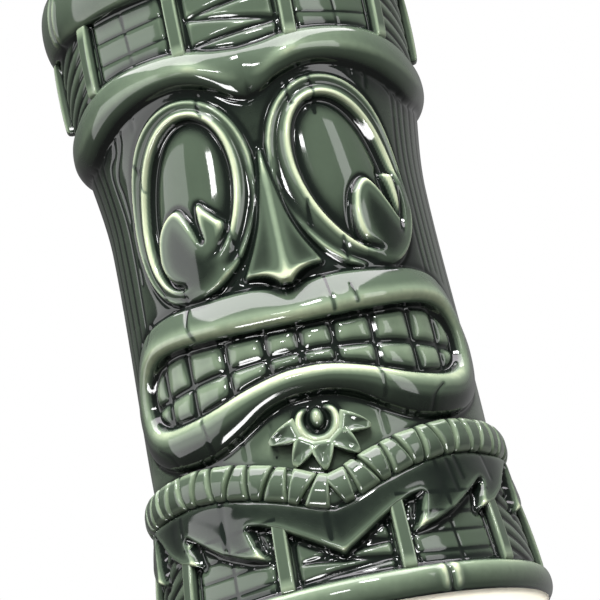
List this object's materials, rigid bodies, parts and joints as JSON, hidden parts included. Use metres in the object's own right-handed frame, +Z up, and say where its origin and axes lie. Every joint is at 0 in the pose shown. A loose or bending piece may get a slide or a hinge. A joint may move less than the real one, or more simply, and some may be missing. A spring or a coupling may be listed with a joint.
{
  "type": "tiki mug",
  "caption": "Tall round stoneware drinking mug carved as a grimacing wooden face, with a headband, a rope belt, a leaf skirt and rolled rim and foot.",
  "frame": {"origin": "on the mug's axis, at the plane that it stands on", "axes": "+Z up along the mug's axis, the face towards -Y, +X to the viewer's right"},
  "size_m": [0.093, 0.093, 0.165],
  "materials": {
    "wall_glaze": "deep grey-green glaze over stoneware, glossy",
    "band_glaze": "grey-green glaze, paler on the crown of the roll",
    "batten_glaze": "grey-green glaze broken to pale green on the edges",
    "eye_glaze": "grey-green glaze, pale on the raised edges",
    "tooth_glaze": "grey-green glaze over pillow-shaped teeth",
    "flower_glaze": "thin pale green glaze",
    "leaf_glaze": "deep green glaze, pale along the leaf edge"
  },
  "bodies": {
    "root": {"mug_body": "wall_glaze", "rim_roll": "band_glaze", "foot_roll": "band_glaze", "headband": "band_glaze", "lip_roll": "band_glaze", "nose": "band_glaze", "upper_batten_01": "batten_glaze", "upper_batten_02": "batten_glaze", "upper_batten_03": "batten_glaze", "upper_batten_04": "batten_glaze", "upper_batten_05": "batten_glaze", "upper_batten_06": "batten_glaze", "upper_batten_07": "batten_glaze", "upper_batten_08": "batten_glaze", "upper_batten_09": "batten_glaze", "upper_batten_10": "batten_glaze", "lower_batten_01": "batten_glaze", "lower_batten_02": "batten_glaze", "lower_batten_03": "batten_glaze", "lower_batten_04": "batten_glaze", "lower_batten_05": "batten_glaze", "lower_batten_06": "batten_glaze", "lower_batten_07": "batten_glaze", "lower_batten_08": "batten_glaze", "lower_batten_09": "batten_glaze", "lower_batten_10": "batten_glaze", "eye_ring_left": "eye_glaze", "eyeball_left": "eye_glaze", "lower_lid_left": "eye_glaze", "eye_ring_right": "eye_glaze", "eyeball_right": "eye_glaze", "lower_lid_right": "eye_glaze", "upper_tooth_1": "tooth_glaze", "upper_tooth_2": "tooth_glaze", "upper_tooth_3": "tooth_glaze", "upper_tooth_4": "tooth_glaze", "upper_tooth_5": "tooth_glaze", "upper_tooth_6": "tooth_glaze", "upper_tooth_7": "tooth_glaze", "upper_tooth_8": "tooth_glaze", "upper_tooth_9": "tooth_glaze", "upper_tooth_10": "tooth_glaze", "lower_tooth_1": "tooth_glaze", "lower_tooth_2": "tooth_glaze", "lower_tooth_3": "tooth_glaze", "lower_tooth_4": "tooth_glaze", "lower_tooth_5": "tooth_glaze", "lower_tooth_6": "tooth_glaze", "lower_tooth_7": "tooth_glaze", "lower_tooth_8": "tooth_glaze", "lower_tooth_9": "tooth_glaze", "lower_tooth_10": "tooth_glaze", "flower_centre": "flower_glaze", "flower_petal_1": "flower_glaze", "flower_petal_2": "flower_glaze", "flower_petal_3": "flower_glaze", "flower_petal_4": "flower_glaze", "flower_petal_5": "flower_glaze", "rope_belt": "leaf_glaze", "leaf_skirt": "leaf_glaze"}
  },
  "joints": []
}
